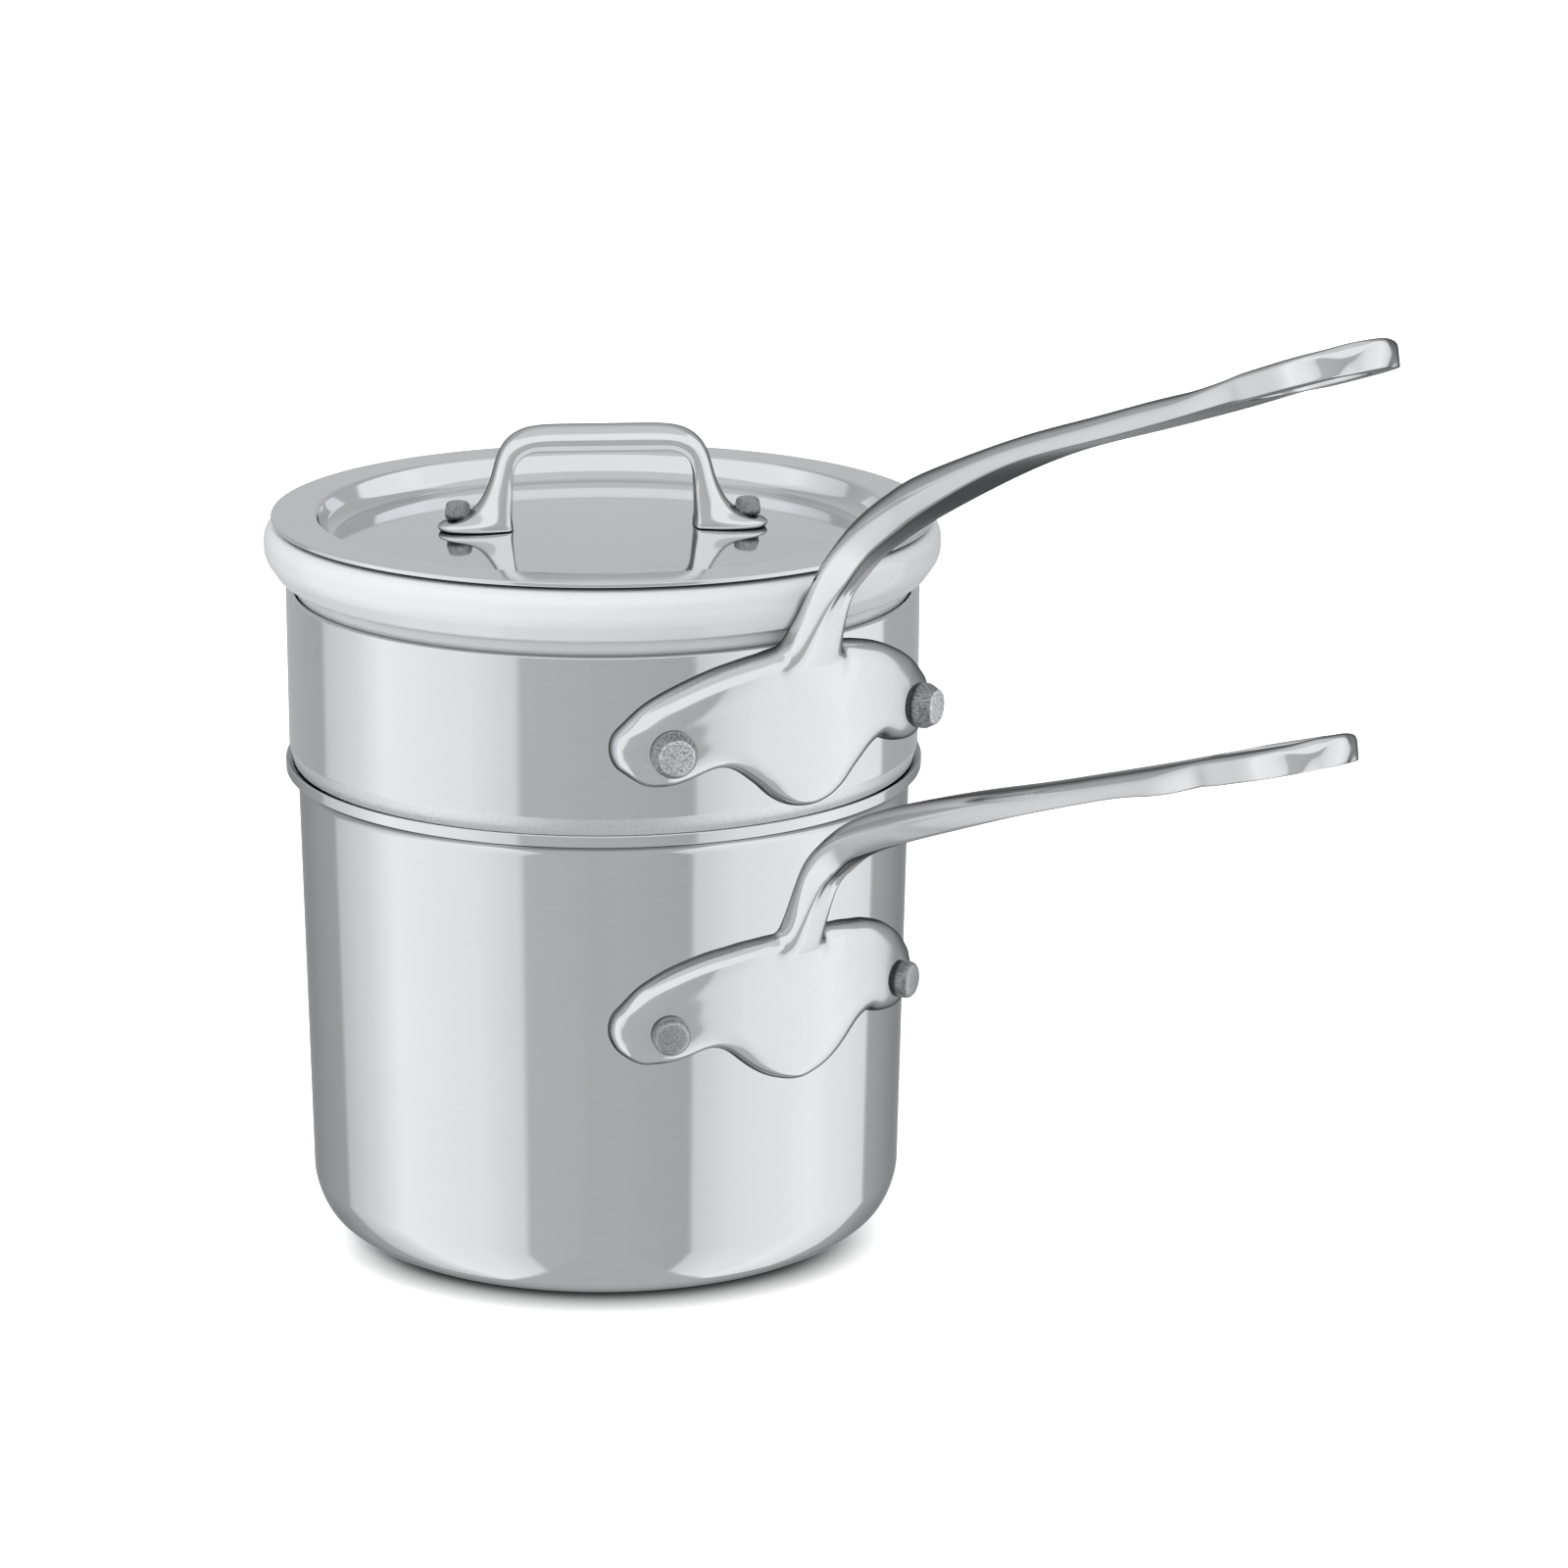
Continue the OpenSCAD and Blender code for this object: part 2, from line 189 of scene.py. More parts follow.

# edge is the share of the colour that is left at grazing angles. A band has a rougher finish
# and a tone of its own: on the collar it is lighter, and on the castings it is painted shade,
# darker near the pan's wall and at the lid handle's feet. ends are where it starts, is full, starts
# to fade and is gone, along the distance from the axis or the height, and tone is its share of the
# colour.
steels = {
    "wallSteel": dict(sheetSteel, edge=0.55, rough=(0.04, 0.08)),
    "collarSteel": dict(
        sheetSteel, edge=0.9, rough=(0.05, 0.10),
        band=dict(
            along="height", ends=(0.0907, 0.0910, 0.0943, 0.0945),
            tone=1.12, rough=0.38, depth=0.35)),
    "lidSteel": dict(sheetSteel, edge=1, rough=(0.05, 0.09)),
    # painted shade: the castings' bands darken them near the pan's wall and at the lid handle's
    # feet
    "upperCast": dict(
        castSteel, edge=0.15,
        band=dict(
            along="distance", ends=(0, 0.001, 0.0612, 0.0629), tone=0.22, rough=0.35, depth=0.2)),
    "lowerCast": dict(
        castSteel, edge=0.15,
        band=dict(
            along="distance", ends=(0, 0.001, 0.0590, 0.0605), tone=0.22, rough=0.35, depth=0.2)),
    "bowCast": dict(
        castSteel, edge=0.2,
        band=dict(
            along="height", ends=(0.1, 0.101, 0.1350, 0.1354), tone=0.25, rough=0.35, depth=0.2)),
}


def makeSteel(name):
    look, common = steels[name], steelLook
    material, tree, shader = newMaterial(name)
    place = objectPlace(tree)
    x, y, height = split(tree, place)
    distance = calc(tree, "SQRT", calc(
        tree, "ADD", calc(tree, "MULTIPLY", x, x), calc(tree, "MULTIPLY", y, y)))
    if isinstance(look["grain"], tuple):
        polar = join(tree, calc(tree, "ARCTAN2", y, x), distance, height)
        stretched = addNode(tree, "Mapping", Vector=polar, Scale=look["grain"]).outputs[0]
        grain = noise(tree, stretched, 1, 3)
    else:
        grain = noise(tree, place, look["grain"], 3)
    cloud = noise(tree, place, common["cloud"], 4)
    mixed = calc(
        tree, "ADD", calc(tree, "MULTIPLY", grain, 0.5), calc(tree, "MULTIPLY", cloud, 0.5))
    colour = ramp(tree, mixed, (0, 1), [shade(look["colour"], tone) for tone in common["tones"]])
    low, high = look["rough"]
    rough = rise(tree, mixed, low=low, high=high)
    normal = bump(tree, grain, look["depth"], common["grainHeight"])
    # the band is a rougher, lighter finish on the collar, and painted shade on the castings
    if "band" in look:
        band = look["band"]
        along = dict(distance=distance, height=height)[band["along"]]
        start, full, fading, end = band["ends"]
        mask = calc(
            tree, "MULTIPLY", rise(tree, along, start, full), rise(tree, along, end, fading))
        speck = noise(tree, place, common["speck"], 4, 0.6)
        bandFinishAndShade = ramp(tree, speck, common["speckSpots"], [
            shade(look["colour"], band["tone"] * tone) for tone in common["speckTones"]])
        colour = blendColour(tree, mask, colour, bandFinishAndShade)
        low, high = band["rough"] - common["speckRough"], band["rough"] + common["speckRough"]
        rough = blend(tree, mask, rough, rise(tree, speck, low=low, high=high))
        depth = calc(tree, "MULTIPLY", mask, band["depth"])
        normal = bump(tree, speck, depth, common["speckHeight"], normal)
    feedAll(tree, shader, {
        "Base Color": colour, "Metallic": 1, "Roughness": rough, "Normal": normal,
        "Specular Tint": [look["edge"]] * 3 + [1],
    })
    return material


glaze = dict(
    colours=((0.78, 0.8085, 0.81755), (0.816, 0.837375, 0.8383)),   # it drifts between the two
    cloud=35, rough=0.12, coat=0.6, coatRough=0.03,
    waves=110, waveStrength=0.08, waveHeight=0.0002,
    # painted shade: reach is how near another surface has to be for ambient occlusion to darken the
    # glaze
    reach=0.0010,   # how near a surface has to be to darken the glaze
)


def makePorcelain():
    material, tree, shader = newMaterial("glazedPorcelain")
    place = objectPlace(tree)
    tint = ramp(tree, noise(tree, place, glaze["cloud"], 5), (0, 1), glaze["colours"])
    # painted shade: ambient occlusion darkens the glaze's colour near other surfaces
    near = addNode(tree, "AmbientOcclusion", Distance=glaze["reach"], Color=tint)
    waves = noise(tree, place, glaze["waves"], 1)
    feedAll(tree, shader, {
        "Base Color": near.outputs["Color"], "Roughness": glaze["rough"], "IOR": 1.5,
        "Coat Weight": glaze["coat"], "Coat Roughness": glaze["coatRough"],
        "Normal": bump(tree, waves, glaze["waveStrength"], glaze["waveHeight"]),
    })
    return material


# Edges that turn by more than sharpFrom degrees are shaded sharp
def finishMesh(bm, name, material, body, node, sharpFrom=35):
    bmesh.ops.remove_doubles(bm, verts=bm.verts, dist=1e-7)
    bmesh.ops.recalc_face_normals(bm, faces=bm.faces)
    for face in bm.faces:
        face.smooth = True
    for edge in bm.edges:
        if len(edge.link_faces) == 2 and edge.calc_face_angle() > math.radians(sharpFrom):
            edge.smooth = False
    mesh = bpy.data.meshes.new(name)
    bm.to_mesh(mesh)
    bm.free()
    mesh.materials.append(material)
    piece = bpy.data.objects.new(name, mesh)
    scene.collection.objects.link(piece)
    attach(piece, body)
    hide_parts(node)
    return piece


# Evens the shading of broad faces beside narrow rounded edges
def evenShading(piece):
    modifier = piece.modifiers.new("even shading", "WEIGHTED_NORMAL")
    modifier.keep_sharp = True
    modifier.weight = 100


# Turns a profile about the upright. Points are (radius, height, corner radius) in millimetres,
# from the axis out and back.
def spinProfile(points, steps, cornerSteps, closed=False):
    bm = bmesh.new()
    verts = [bm.verts.new((point[0] * mm, 0, point[1] * mm)) for point in points]
    pairs = list(zip(verts, verts[1:]))
    if closed:
        pairs.append((verts[-1], verts[0]))
    for pair in pairs:
        bm.edges.new(pair)
    flat = [Vector((point[0], point[1])) for point in points]
    for index, point in enumerate(points):
        if len(point) < 3:
            continue
        before, here, after = flat[index - 1], flat[index], flat[(index + 1) % len(flat)]
        reach = point[2] / math.tan((before - here).angle(after - here) / 2)
        bmesh.ops.bevel(
            bm, geom=[verts[index]], offset=reach * mm, offset_type="OFFSET",
            segments=cornerSteps, profile=0.5, affect="VERTICES", material=-1)
    bmesh.ops.spin(
        bm, geom=bm.verts[:] + bm.edges[:], axis=(0, 0, 1), cent=(0, 0, 0), dvec=(0, 0, 0),
        angle=math.tau, steps=steps, use_merge=True, use_duplicate=False)
    return bm


def turnedPiece(shape):
    bm = spinProfile(shape["points"], shape["steps"], shape["cornerSteps"], shape["closed"])
    piece = finishMesh(
        bm, shape["name"], surfaces[shape["surface"]], shape["body"], shape["node"])
    evenShading(piece)


lowerPan = dict(
    name="lower_pan_wall", surface="wallSteel", body="lower_pan", slot="steel", node="lower_pan",
    steps=256, cornerSteps=7, closed=False,
    points=[
        (0, 0), (52.85, 0, 6.8), (56.95, 6.16, 12), (58.42, 88.26, 2.6),
        (60.7, 89.33, 0.2), (60.7, 91.54, 0.25),
        (56.42, 89.53, 4.4), (54.95, 7.39, 8.6), (52.02, 3, 4.8), (0, 3),
    ],
)

upperRing = dict(
    name="upper_pan_ring", surface="collarSteel", body="upper_pan", slot="steel",
    node="upper_collar", steps=256, cornerSteps=7, closed=True,
    points=[
        (60, 124.1, 0.3), (60, 94.5, 0.12), (59.15, 91.05, 0.4), (56.15, 89.64, 4.3),
        (56.15, 80, 0.3), (54.65, 80, 0.3), (54.65, 90.0, 4), (58.5, 94.9, 4), (58.5, 124.1, 0.3),
    ],
)

porcelainBowl = dict(
    name="porcelain_bowl", surface="glazedPorcelain", body="insert", slot="porcelain",
    node="porcelain_insert", steps=256, cornerSteps=7, closed=False,
    points=[
        (0, 38), (51.5, 38, 17), (53.9, 88.6, 6), (56.2, 95, 6), (56.2, 120.4, 4), (58.2, 122.8, 4),
        (58.4, 126.6, 1), (61.5, 127.4, 1.4), (63.9, 131, 4), (63.9, 137.1, 3.4), (56, 137.1, 1.5),
        (56, 125.5, 5), (52.9, 121.6, 5), (52.9, 96, 6), (50.6, 89.6, 6), (48.1, 41.4, 13.6),
        (0, 41.4),
    ],
)

lidSheet = dict(
    name="lid_sheet", surface="lidSteel", body="lid", slot="lid_steel", node="lid",
    steps=256, cornerSteps=12, closed=False,
    points=[
        (0, 135.4), (25.2, 135.4, 535), (52.4, 133.0, 3), (54.01, 138.3, 1), (62.5, 138.3, 0.3),
        (62.5, 137.4, 0.3), (54.68, 137.4, 0.3), (53.07, 132.1, 3.9), (25.2, 134.5, 535),
        (0, 134.5),
    ],
)

# seat is where the outer head stands, and profile its (radius, height, corner radius) from there
# up. inside is where the shank meets the inner head. The outer head has painted shade below the
# height root above its seat, and its flat face is faceTone as bright as its side. contrast is how
# much its fine lines differ.
rivets = dict(
    upper=dict(
        body="upper_pan", seat=64.5, height=107.9, inside=58.35,
        shank=2, inner=3.4, innerThick=1.1,
        profile=[
            (3.75, 0), (3.75, 0.9, 0.1), (4.2, 1.15, 0.25), (4.25, 3.2, 1.2), (3.15, 5.3, 0.35)],
        colour=(0.36, 0.365, 0.375), faceTone=2.0, rough=(0.25, 0.5), depth=0.6,
        contrast=1.3, root=2.0),
    lower=dict(
        body="lower_pan", seat=61.49, height=54.4, inside=55.54,
        shank=2, inner=3.4, innerThick=1.1,
        profile=[(3.25, 0), (3.25, 0.5, 0.1), (3.5, 0.8, 0.4), (3.5, 4.2, 1.2)],
        colour=(0.33, 0.335, 0.345), faceTone=1.5, rough=(0.28, 0.38), depth=0.15,
        contrast=0.8, root=1.9),
    lid=dict(
        body="lid", seat=137.1, reach=27.4, inside=133.65,
        shank=1.3, inner=2.5, innerThick=0.9,
        profile=[(2.35, 0), (2.5, 0.8, 0.3), (2.1, 3, 0.7)],
        colour=(0.34, 0.35, 0.36), faceTone=1.3, rough=(0.28, 0.5), depth=0.6,
        contrast=1.1, root=0.5),
)

# What every rivet shares
rivetLook = dict(
    panTurn=25.5,           # turn of the pans' rivets from the long handles, degrees
    steps=64, cornerSteps=5, innerRound=0.4,
    lines=14, lineTwist=90, speck=3400, toolHeight=0.00012,
    faceFade=(0.4, 0.1),    # how far below the flat face the specks start and are full
    spots=(0.30, 0.62), spotTones=(-0.5, 0.25),
    rootShade=0.18, rootSoft=0.3, innerTone=1.0, innerReach=0.5,
)


# Where a rivet stands: its axis is up before this is applied
def rivetPlace(kind, side):
    sizes = rivets[kind]
    if kind == "lid":
        turn = math.radians(bow["turn"])
        reach = side * sizes["reach"] * mm
        return Matrix.Translation((reach * math.cos(turn), reach * math.sin(turn), 0))
    return (
        Matrix.Rotation(math.radians(side * rivetLook["panTurn"]), 4, "Z")
        @ Matrix.Translation((0, 0, sizes["height"] * mm))
        @ Matrix.Rotation(math.radians(90), 4, "Y")
    )


# Dull turned steel: fine lines from the middle of the head outward, specks on its face, and
# painted shade round the head's root
def rivetSteel(name, kind, side):
    sizes, look = rivets[kind], rivetLook
    material, tree, shader = newMaterial(name)
    back = rivetPlace(kind, side).inverted()
    where = addNode(
        tree, "Mapping", Vector=objectPlace(tree), Location=back.translation,
        Rotation=back.to_euler()).outputs[0]
    x, y, z = split(tree, where)
    turn = calc(tree, "ARCTAN2", y, x)
    around = join(
        tree, calc(tree, "COSINE", turn), calc(tree, "SINE", turn),
        calc(tree, "MULTIPLY", z, look["lineTwist"]))
    lines = noise(tree, around, look["lines"], 2, 0.6)
    speck = noise(tree, where, look["speck"], 3, 0.6)
    top = sizes["seat"] + sizes["profile"][-1][1]
    face = rise(tree, z, *[(top - fade) * mm for fade in look["faceFade"]])
    marks = blend(tree, face, lines, speck)
    # painted shade: the outer head is darker below its root, where it meets the plate
    root = sizes["seat"] + sizes["root"]
    aboveRoot = rise(tree, z, (root - look["rootSoft"]) * mm, (root + look["rootSoft"]) * mm)
    innerHead = calc(tree, "LESS_THAN", z, (sizes["inside"] + look["innerReach"]) * mm)
    tone = blend(
        tree, aboveRoot, blend(tree, innerHead, look["rootShade"], look["innerTone"]),
        blend(tree, face, 1.0, sizes["faceTone"]))
    tint = ramp(tree, marks, look["spots"], [
        shade(sizes["colour"], 1 + spot * sizes["contrast"]) for spot in look["spotTones"]])
    toned = addNode(tree, "VectorMath", operation="SCALE", Vector=tint, Scale=tone)
    low, high = sizes["rough"]
    feedAll(tree, shader, {
        "Base Color": toned.outputs[0], "Metallic": 1,
        "Roughness": rise(tree, marks, low=low, high=high),
        "Normal": bump(tree, marks, sizes["depth"], look["toolHeight"]),
    })
    return material


def rivetPiece(kind, side, word):
    sizes = rivets[kind]
    node = kind + "_rivet_" + word
    inside, inner, seat = sizes["inside"], sizes["inner"], sizes["seat"]
    bottom = inside - sizes["innerThick"]
    points = [
        (0, bottom), (inner, bottom, rivetLook["innerRound"]), (inner, inside),
        (sizes["shank"], inside), (sizes["shank"], seat),
    ]
    points += [(radius, seat + height, *corner) for radius, height, *corner in sizes["profile"]]
    points.append((0, points[-1][1]))
    bm = spinProfile(points, rivetLook["steps"], rivetLook["cornerSteps"])
    bmesh.ops.transform(bm, matrix=rivetPlace(kind, side), verts=bm.verts)
    surface = rivetSteel(node + "_steel", kind, side)
    piece = finishMesh(bm, node + "_head", surface, sizes["body"], node)
    evenShading(piece)
    piece.visible_glossy = kind == "lid"    # the pans' walls don't mirror theirs


# A long handle is one cage: a bracket of columns and rows bent round the wall, in three layers
# from its front to its back, and a stem drawn out of the middle of its top row. wall is the
# wall's radius at the rivets, and lean how much it grows with the height. Each column is the
# distance round the wall from the middle, then its top and its bottom, measured up from the
# rivets. Each station of the stem is its distance from the axis, height, width and thickness.
# flare widens the front below the stem. The slotted end rises by endSlope degrees, taper thins
# its first rows, and slotShift moves the slot along it.
upperHandle = dict(
    steel="upperCast",
    wall=60, lean=0, rivetHeight=107.9, thick=5,
    columns=[
        (0, 16.4, -13.9), (2.4, 16.4, -13.6), (5.0, 16.4, -12.7), (7.8, 15.9, -10.9),
        (10, 15.35, -8.9), (12.4, 14.95, -7.0), (15, 14.4, -5.3), (18.5, 13.55, -4.5),
        (22.5, 12.2, -5.7), (26.5, 10.55, -7.0), (30, 8.8, -7.2), (33, 6.8, -6.4),
        (35.6, 4.4, -4.7),
    ],
    earEnd=[(36.8, -3.5), (37.7, -2.0), (38.05, -0.3), (37.8, 1.4), (36.9, 2.9)],
    flare=1.5, topRound=4.6, lowRound=3.2, earRound=3.8, roundDepth=3.4,
    stem=[
        (65.4, 129, 9.6, 6), (67.8, 134.2, 8.8, 6.6), (71.6, 139.6, 8.4, 7), (76.8, 145, 8.4, 7.3),
        (82.9, 149.8, 9, 7.5), (89.8, 154.3, 9.9, 7.4), (97, 158.3, 11.3, 6.9),
        (112.1, 165.45, 13.5, 5.2), (127.2, 171.6, 14.8, 4.3), (142, 176.55, 16, 4.2),
        (157.1, 181.65, 17.1, 4.2), (167, 184.95, 18.1, 3.8),
    ],
    end=(191, 193.6), endSlope=19.4, endRadius=10.2, endThick=4.7, taper=0.8, slotShift=0.7,
)

lowerHandle = dict(
    steel="lowerCast",
    wall=57.79, lean=0.01905, rivetHeight=54.4, thick=4.2,
    columns=[
        (0, 15.2, -13.4), (1.7, 15.2, -13.2), (3.5, 15.2, -12.7), (6, 15, -11.8), (9, 14.75, -10.1),
        (12, 14.5, -7.8), (15, 14, -5.5), (18.5, 13.4, -4.6), (22, 12.4, -5.6),
        (26, 10.95, -6.6), (29.5, 9.05, -6.8), (32.3, 7.1, -6.3), (34.8, 4.5, -4.8),
    ],
    earEnd=[(35.9, -3.4), (36.7, -1.9), (37.05, -0.3), (36.8, 1.4), (36, 3.0)],
    flare=1.2, topRound=4, lowRound=3.2, earRound=3.8, roundDepth=3,
    stem=[
        (62.2, 73.7, 8.2, 6), (65, 80.2, 8.4, 6.4), (68.8, 85.2, 8.4, 6.6), (74, 89.5, 8.4, 6.6),
        (79.6, 92.7, 8.6, 6.6), (87, 95.9, 9.3, 6.6), (94.8, 98.9, 10.4, 6.4),
        (110, 104.5, 12.4, 5.7), (125, 109.65, 13.7, 4.7), (140, 114.8, 14.9, 4.2),
        (153.8, 119.4, 16.4, 4.1), (163.5, 122.4, 17.7, 4.7),
    ],
    end=(186.5, 130.2), endSlope=17.9, endRadius=9.5, endThick=4.8, taper=0.3, slotShift=0,
)

# What both long handles share
castForm = dict(
    rows=6, wallGap=0.05,
    bendOut=2,      # how far off the wall the columns are measured
    slotHalf=4.75, slotStep=12.5, slotCorner=3.36,
    # the stem's section for the columns 0, 1 and 2, as shares of half its width and of its
    # thickness: its outer face is crowned, and blockier over the last stations
    crown=((0, 0.5), (0.37, 0.457), (0.74, 0.30)),
    block=((0, 0.5), (0.45, 0.49), (0.86, 0.38)),
    under=(0, 0.46), underInset=0.5, sides=(0, 0.5, 1), sideUp=-0.08,
    change=6,       # stations over which the section changes
    neckIn=0.42, neckUp=0.14,
    # where the stem leaves the bracket: how far the front of the top row and of the row below it
    # stand out, drop and widen, for the columns 0 to 3
    topOut=(1.0, 1.0, 0.65), topDrop=0.8, topWide=(0, 0, 0.25), topMiddleUp=0.3,
    nextOut=(0.15, 0.15, 0.08, 0), nextWide=(0, 0.35, 1, 0.6),
    # the slotted end's layers, from the underside up
    endUp=(-0.5, 0, 0.46), endRoundUp=0.07, endInset=(0.3, 0, 0.45), tipInset=(1.1, 0, 0.3),
    endTaper=(1, 0.4, 0.1, 0, 0, 0),
    creases=dict(slot=0.65, stem=0.55, neck=0.25, back=0.8),
)


def tagVerts(bm, verts, **tags):
    for name, value in tags.items():
        layer = bm.verts.layers.int[name]
        for vert in verts:
            vert[layer] = value


# Extrudes faces and leaves no wall inside. The first extrude of an open sheet keeps it.
def extrudeOn(bm, faces, keep=False):
    out = bmesh.ops.extrude_face_region(bm, geom=faces)["geom"]
    moved = [item for item in out if isinstance(item, bmesh.types.BMFace)]
    if not keep:
        bmesh.ops.delete(bm, geom=faces, context="FACES")
    return moved


def vertsOf(faces):
    return list({vert for face in faces for vert in face.verts})


def sideOf(column):
    return (column > 0) - (column < 0)


# The right half of the bracket's outline, by column and row: point, inward direction, rounding
def bracketEdge(shape):
    columns, rows = shape["columns"], castForm["rows"]
    last = len(columns) - 1
    outline = [Vector((around, low)) for around, high, low in columns]
    outline += [Vector(point) for point in shape["earEnd"]]
    outline += [Vector((around, high)) for around, high, low in reversed(columns)]
    rounds = [shape["lowRound"]] * last + [shape["earRound"]] * (rows + 1)
    rounds += [shape["topRound"]] * last
    edge = {}
    for index, point in enumerate(outline):
        along = outline[min(index + 1, len(outline) - 1)] - outline[max(index - 1, 0)]
        along.normalize()
        if index <= last:
            key = (index, 0)
        elif index < last + rows:
            key = (last, index - last)
        else:
            key = (2 * last + rows - index, rows)
        edge[key] = (point, Vector((-along.y, along.x)), rounds[index])
    return edge


# Places of the bracket's grid as (round the wall, height, depth) for a column, row and layer
def bracketPlaces(shape):
    last, rows, gap = len(shape["columns"]) - 1, castForm["rows"], castForm["wallGap"]
    thick, drop = shape["thick"], shape["roundDepth"]
    midRound = 1 - math.sqrt(0.5)     # how far in the middle of a rounded edge lies
    edge = bracketEdge(shape)
    places, rim = {}, {}
    for key, (point, inward, inset) in edge.items():
        near = point + inward * inset * midRound
        places[key + (0,)] = (near.x, near.y, thick - drop * midRound)
        places[key + (1,)] = (point.x, point.y, thick - drop)
        places[key + (2,)] = (point.x, point.y, gap)
        rim[key] = point + inward * inset
    inner = {}
    for column in range(last):
        beside = column if column < last - 1 else last
        low, high = rim[(beside, 0)], rim[(beside, rows)]
        if column == 0:
            low.x = high.x = 0
        for row in range(1, rows):
            inner[(column, row)] = low.lerp(high, (row - 1) / (rows - 2))
    for row in range(2, rows - 1):
        inner[(last - 1, row)] = rim[(last, row)]
    for key, point in inner.items():
        places[key + (0,)] = (point.x, point.y, thick)
        places[key + (2,)] = (point.x, point.y, gap)
    return places


# A point of the stem's section: how far across and how far up. flat and neck run from 0 to 1
# towards the slotted end and towards the bracket.
def stemSection(column, layer, width, thick, flat, neck):
    form, c = castForm, abs(column)
    if layer == 0:
        shares = (*form["under"], 1 - form["underInset"] / width)
        across, up = shares[c] * (1 - form["neckIn"] * neck), -0.5
    elif layer == 1:
        across, up = form["sides"][c], form["sideUp"] * (1 - flat) + form["neckUp"] * neck
    else:
        faces = zip(form["crown"][c], form["block"][c])
        across, up = (crown * (1 - flat) + block * flat for crown, block in faces)
    return sideOf(column) * across * width / 2, up * thick


# Rows of the slotted end: distance along for the columns 0, 1 and 2, then how far across the
# columns 1 and 2 lie
def slottedRows(shape):
    radius, hole, corner = shape["endRadius"], castForm["slotHalf"], castForm["slotCorner"]
    right = shape["slotShift"]
    left = right - castForm["slotStep"]
    slant = hole * math.sqrt(0.5)
    return [
        (left - hole, left - slant, left - hole * 0.8, corner, radius - 0.9),
        (left, left, left, hole, radius - 0.5),
        ((left + right) / 2,) * 3 + (hole, radius - 0.1),
        (right, right, right + 0.6, hole, radius),
        (right + hole, right + slant, radius * 0.63, corner, radius * 0.78),
        (radius, radius * 0.97, radius * 0.88, radius * 0.24, radius * 0.47),
    ]


def bracketPoint(shape, places, column, row, layer):
    form, c = castForm, abs(column)
    around, height, depth = places[(c, row, layer)]
    if row == form["rows"] and c <= 2 and layer == 0:
        depth = shape["thick"] + form["topOut"][c]
        height -= form["topDrop"]
        around += shape["flare"] * form["topWide"][c]
    elif row == form["rows"] and c <= 2 and layer == 1:
        depth = shape["thick"] * 0.5
        height += form["topMiddleUp"]
    elif row == form["rows"] - 1 and c <= 3 and layer == 0:
        depth += form["nextOut"][c]
        around += shape["flare"] * form["nextWide"][c]
    turn = sideOf(column) * around / (shape["wall"] + form["bendOut"])
    distance = shape["wall"] + depth + (shape["lean"] * height if layer == 2 else 0)
    return Vector((
        distance * math.cos(turn), distance * math.sin(turn), shape["rivetHeight"] + height))


def stemPoint(shape, slotted, rising, column, layer, step):
    stem = shape["stem"]
    count = len(stem)
    x, z, width, thick = stem[step]
    if step + 1 < count:
        after = Vector(stem[step + 1][:2])
    else:
        after = Vector(shape["end"]) + rising * slotted[1][0]
    along = (after - Vector(stem[step - 1][:2])).normalized()
    flat = max(0, 1 - (count - 1 - step) / castForm["change"])
    neck = min(1, max(0, 1 - (step - 2) / castForm["change"]))
    across, up = stemSection(column, layer, width, thick, flat, neck)
    return Vector((x - along.y * up, across, z + along.x * up))


def endPoint(shape, slotted, rising, column, layer, index):
    form, c, row = castForm, abs(column), slotted[index]
    if index == len(slotted) - 1:
        distance = row[c] - form["tipInset"][layer]
    else:
        distance = row[2] if layer == 1 else row[c]
    across = (0, row[3], row[4] - form["endInset"][layer])[c]
    thick = shape["endThick"] - shape["taper"] * form["endTaper"][index]
    share = form["endUp"][layer]
    if layer == 2 and c == 2:
        share -= form["endRoundUp"]
    up = share * thick
    point = Vector(shape["end"]) + rising * distance + Vector((-rising.y, rising.x)) * up
    return Vector((point.x, sideOf(column) * across, point.y))


